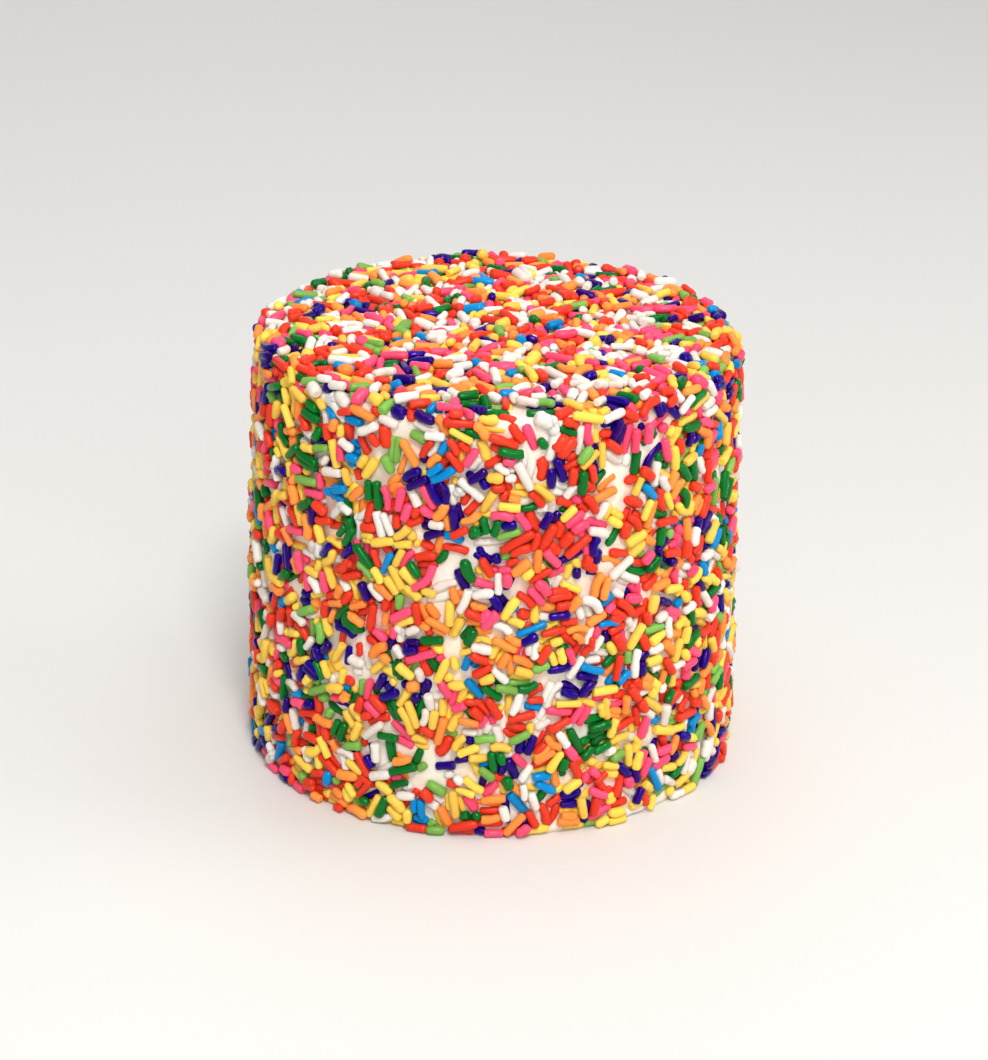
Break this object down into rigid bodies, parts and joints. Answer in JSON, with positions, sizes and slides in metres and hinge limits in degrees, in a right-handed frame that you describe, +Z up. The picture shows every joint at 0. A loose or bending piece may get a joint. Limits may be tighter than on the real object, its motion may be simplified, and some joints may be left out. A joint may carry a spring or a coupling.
{
  "type": "sprinkle cake",
  "caption": "Small tall round cake, frosted white and coated all over, sides and top, in mixed rainbow sugar sprinkles; uncut, flat base.",
  "frame": {"origin": "centre of the flat base, on the surface that the cake stands on", "axes": "+Z up along the cake's axis; -Y towards the viewer of the picture; +X to that viewer's right"},
  "size_m": [0.1146, 0.1143, 0.1014],
  "materials": {
    "frosting": "soft satin buttercream, warm white, faintly tinted by the sprinkles",
    "sprinkles_white": "satin sugar, warm white",
    "sprinkles_yellow": "satin sugar, warm yellow",
    "sprinkles_orange": "satin sugar, orange",
    "sprinkles_red": "satin sugar, red",
    "sprinkles_pink": "satin sugar, bright pink",
    "sprinkles_light_green": "satin sugar, light green",
    "sprinkles_dark_green": "satin sugar, dark green",
    "sprinkles_blue": "satin sugar, blue",
    "sprinkles_purple": "satin sugar, deep violet"
  },
  "bodies": {
    "root": {"frosted_cake": "frosting"}
  },
  "joints": []
}
